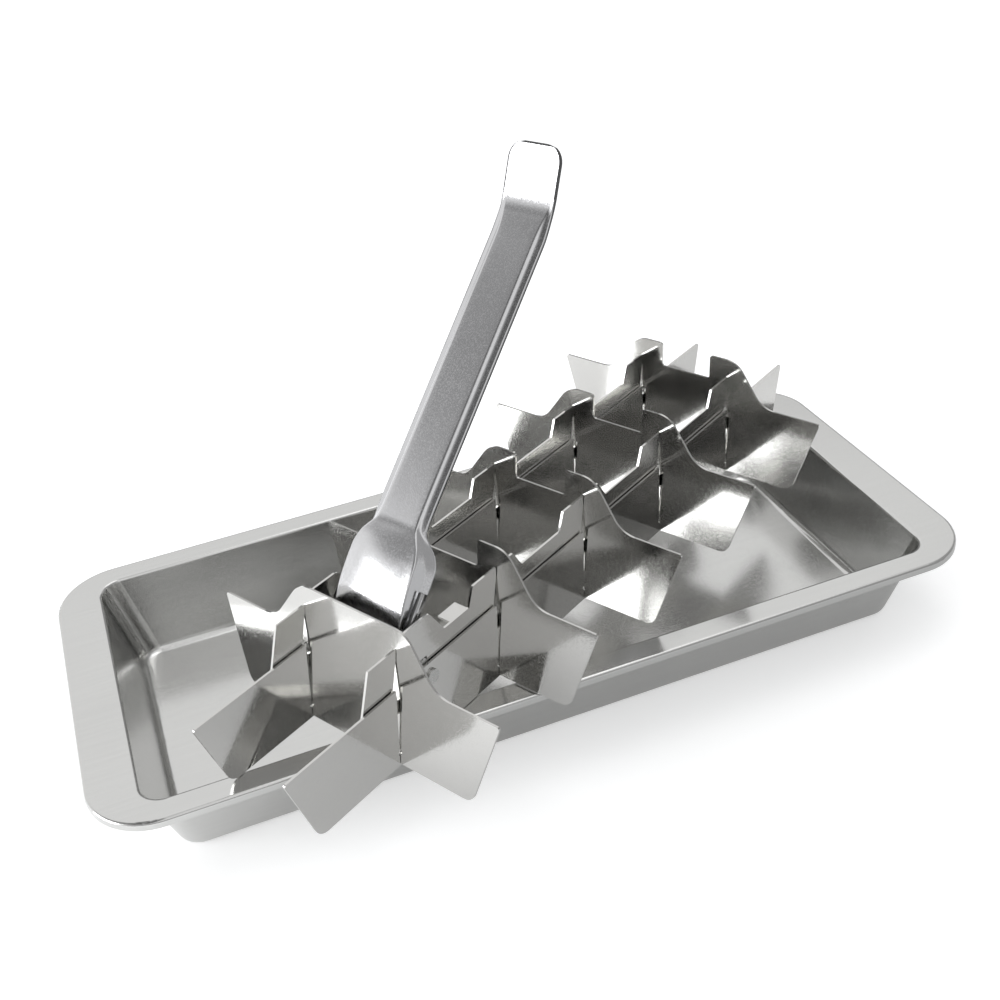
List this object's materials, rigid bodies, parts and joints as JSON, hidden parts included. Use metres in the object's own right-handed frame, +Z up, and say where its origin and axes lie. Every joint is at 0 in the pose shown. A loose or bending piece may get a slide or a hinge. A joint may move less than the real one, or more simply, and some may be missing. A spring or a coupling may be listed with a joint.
{
  "type": "lever ice cube tray",
  "caption": "Metal ice tray: a shallow rimmed pan and a loose divider grid whose cross plates lean together when its lever is raised, to break the ice free.",
  "frame": {"origin": "centre of the underside of the pan", "axes": "+X along the pan's length, +Y across it, +Z up; the divider grid lies on the rim, turned 30.3 degrees about Z"},
  "size_m": [0.28, 0.1743, 0.1684],
  "materials": {
    "pan_steel": "satin",
    "divider_steel": "bright rolled",
    "lever_steel": "plated, satin",
    "pin_steel": "plain"
  },
  "bodies": {
    "pan": {"tray_pan": "pan_steel"},
    "divider_frame": {"lower_strip_left": "divider_steel", "lower_strip_right": "divider_steel", "pivot_pin": "pin_steel"},
    "slide_bars": {"slide_bar_left": "divider_steel", "slide_bar_right": "divider_steel"},
    "lever": {"lever_handle": "lever_steel", "drive_pin": "pin_steel"},
    "plate_5": {"cross_plate_5": "divider_steel"},
    "plate_4": {"cross_plate_4": "divider_steel"},
    "plate_3": {"cross_plate_3": "divider_steel"},
    "plate_2": {"cross_plate_2": "divider_steel"},
    "plate_1": {"cross_plate_1": "divider_steel"}
  },
  "joints": [
    {"name": "divider_lift", "type": "slide", "parent": "pan", "child": "divider_frame", "axis": [0, 0, 1], "range_m": [0, 0.07]},
    {"name": "lever_hinge", "type": "hinge", "parent": "divider_frame", "child": "lever", "pos_m": [-0.05148, -0.04797, 0.0492], "axis": [0.5045, -0.8634, 0], "range_deg": [-45, 17]},
    {"name": "bar_slide", "type": "slide", "parent": "divider_frame", "child": "slide_bars", "axis": [0.8634, 0.5045, 0], "range_m": [-0.0015, 0.004]},
    {"name": "plate_5_lean", "type": "hinge", "parent": "divider_frame", "child": "plate_5", "pos_m": [-0.06495, -0.05584, 0.0332], "axis": [-0.5045, 0.8634, 0], "range_deg": [-2.9, 7.5]},
    {"name": "plate_4_lean", "type": "hinge", "parent": "divider_frame", "child": "plate_4", "pos_m": [-0.02801, -0.03425, 0.0332], "axis": [-0.5045, 0.8634, 0], "range_deg": [-2.9, 7.6]},
    {"name": "plate_3_lean", "type": "hinge", "parent": "divider_frame", "child": "plate_3", "pos_m": [0.00892, -0.01267, 0.0332], "axis": [-0.5045, 0.8634, 0], "range_deg": [-2.9, 7.6]},
    {"name": "plate_2_lean", "type": "hinge", "parent": "divider_frame", "child": "plate_2", "pos_m": [0.04584, 0.00891, 0.0332], "axis": [-0.5045, 0.8634, 0], "range_deg": [-2.9, 7.7]},
    {"name": "plate_1_lean", "type": "hinge", "parent": "divider_frame", "child": "plate_1", "pos_m": [0.08277, 0.03048, 0.0332], "axis": [-0.5045, 0.8634, 0], "range_deg": [-3, 7.7]}
  ],
  "couplings": [
    {"joint": "bar_slide", "follows": "lever_hinge", "m_per_rad": -0.0050478},
    {"joint": "plate_5_lean", "follows": "lever_hinge", "ratio": -0.164},
    {"joint": "plate_4_lean", "follows": "lever_hinge", "ratio": -0.166},
    {"joint": "plate_3_lean", "follows": "lever_hinge", "ratio": -0.1677},
    {"joint": "plate_2_lean", "follows": "lever_hinge", "ratio": -0.1692},
    {"joint": "plate_1_lean", "follows": "lever_hinge", "ratio": -0.1706}
  ]
}
